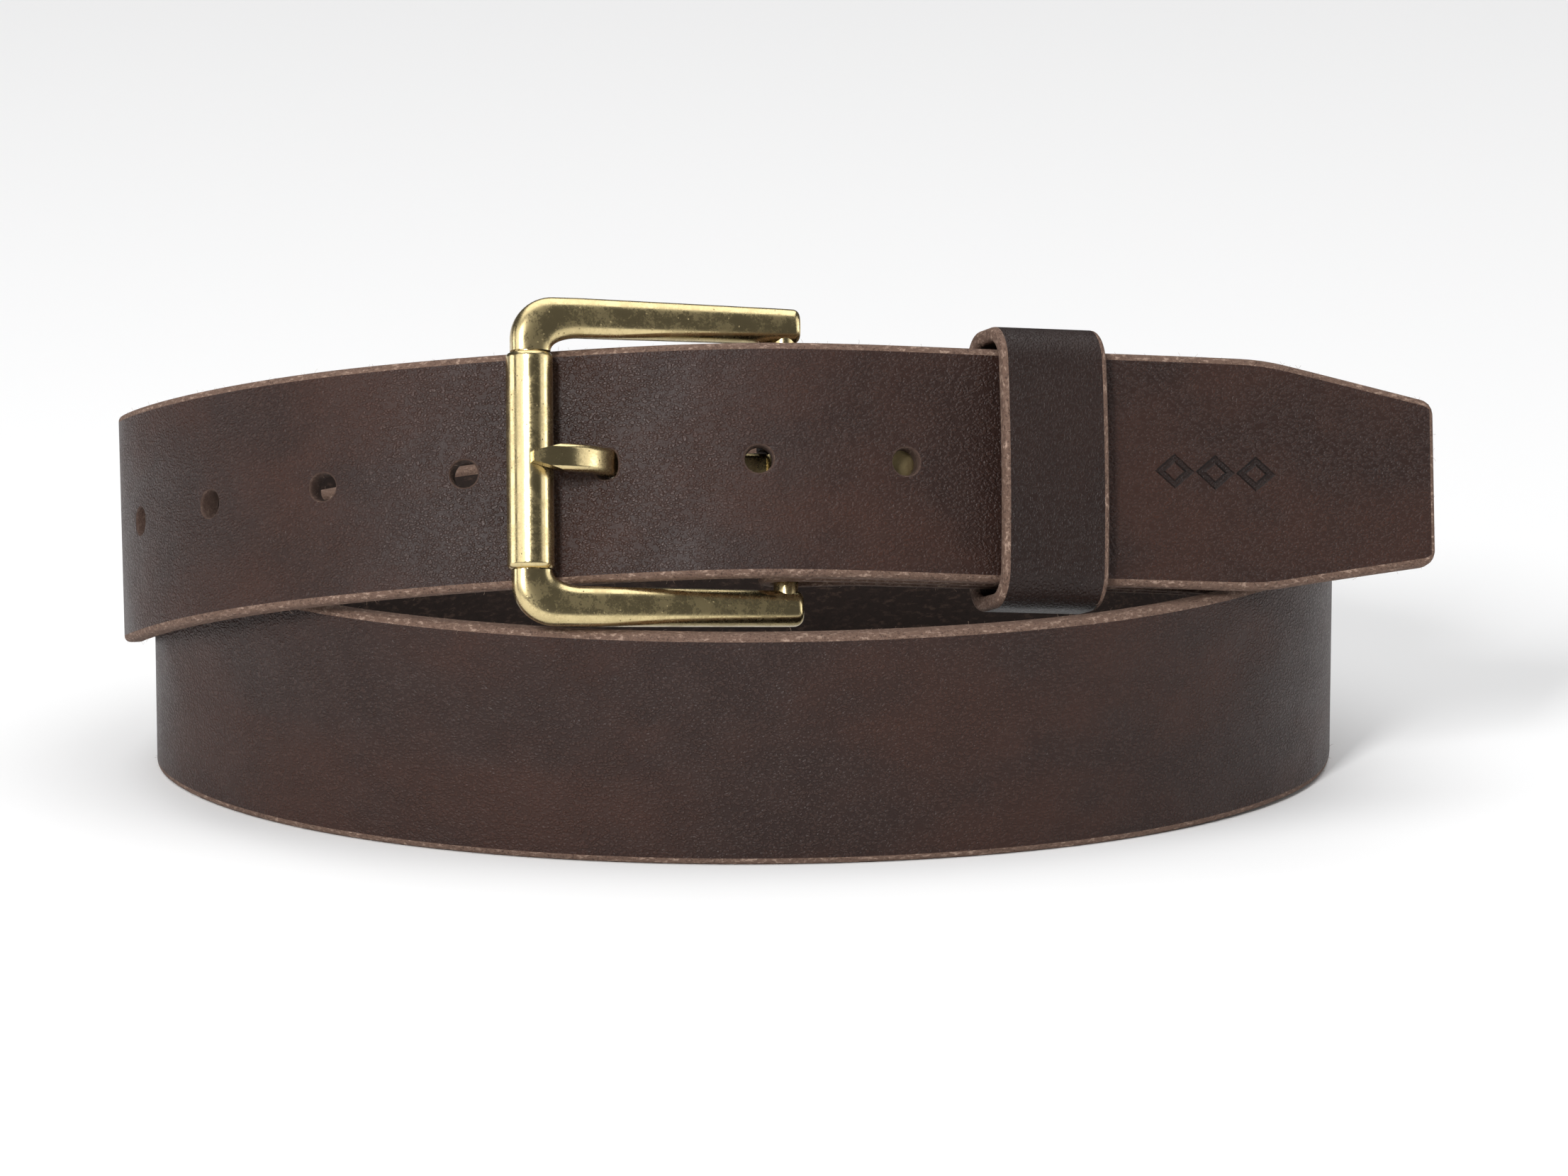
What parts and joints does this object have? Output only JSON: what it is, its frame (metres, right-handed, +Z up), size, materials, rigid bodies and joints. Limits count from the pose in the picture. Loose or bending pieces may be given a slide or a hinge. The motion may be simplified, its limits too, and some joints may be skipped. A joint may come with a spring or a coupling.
{
  "type": "leather belt",
  "caption": "Men's leather belt, buckled and coiled in two turns on its edge, with a brass roller buckle, a prong and a leather keeper.",
  "frame": {"origin": "on the surface that the belt stands on, under the middle of the belt's bounding box", "axes": "+X along the coil's long side towards the pointed end, -Y the side that the buckle faces, +Z up, away from the surface"},
  "size_m": [0.23, 0.1542, 0.0939],
  "materials": {
    "leather": "satin, dark brown full-grain with raw brown edges",
    "leather_keeper": "satin, dark brown with raw edges",
    "brass": "antique brushed satin",
    "brass_roller": "antique brushed satin",
    "brass_prong": "antique brushed satin",
    "steel": "plain bright wire",
    "snap_brass": "antique satin"
  },
  "bodies": {
    "strap": {"strap": "leather", "snap_caps": "snap_brass", "snap_sockets": "snap_brass", "snap_studs": "snap_brass", "snap_posts": "snap_brass"},
    "buckle": {"buckle_frame": "brass"},
    "roller": {"roller": "brass_roller"},
    "prong": {"prong": "brass_prong"},
    "keeper": {"keeper_loop": "leather_keeper", "keeper_staple": "steel"}
  },
  "joints": [
    {"name": "buckle_tilt", "type": "hinge", "parent": "strap", "child": "buckle", "pos_m": [0.00264, -0.05603, 0.06439], "axis": [-0.0125, 0.3584, 0.9335], "range_deg": [0, 1]},
    {"name": "roller_spin", "type": "hinge", "parent": "buckle", "child": "roller", "pos_m": [-0.04057, -0.06654, 0.06784], "axis": [-0.0125, 0.3584, 0.9335], "continuous": true},
    {"name": "prong_swing", "type": "hinge", "parent": "buckle", "child": "prong", "pos_m": [0.00264, -0.05603, 0.06439], "axis": [-0.0125, 0.3584, 0.9335], "range_deg": [0, 1]},
    {"name": "keeper_slide", "type": "slide", "parent": "strap", "child": "keeper", "axis": [-0.9451, -0.3116, 0.0979], "range_m": [-0.003, 0.006]}
  ]
}
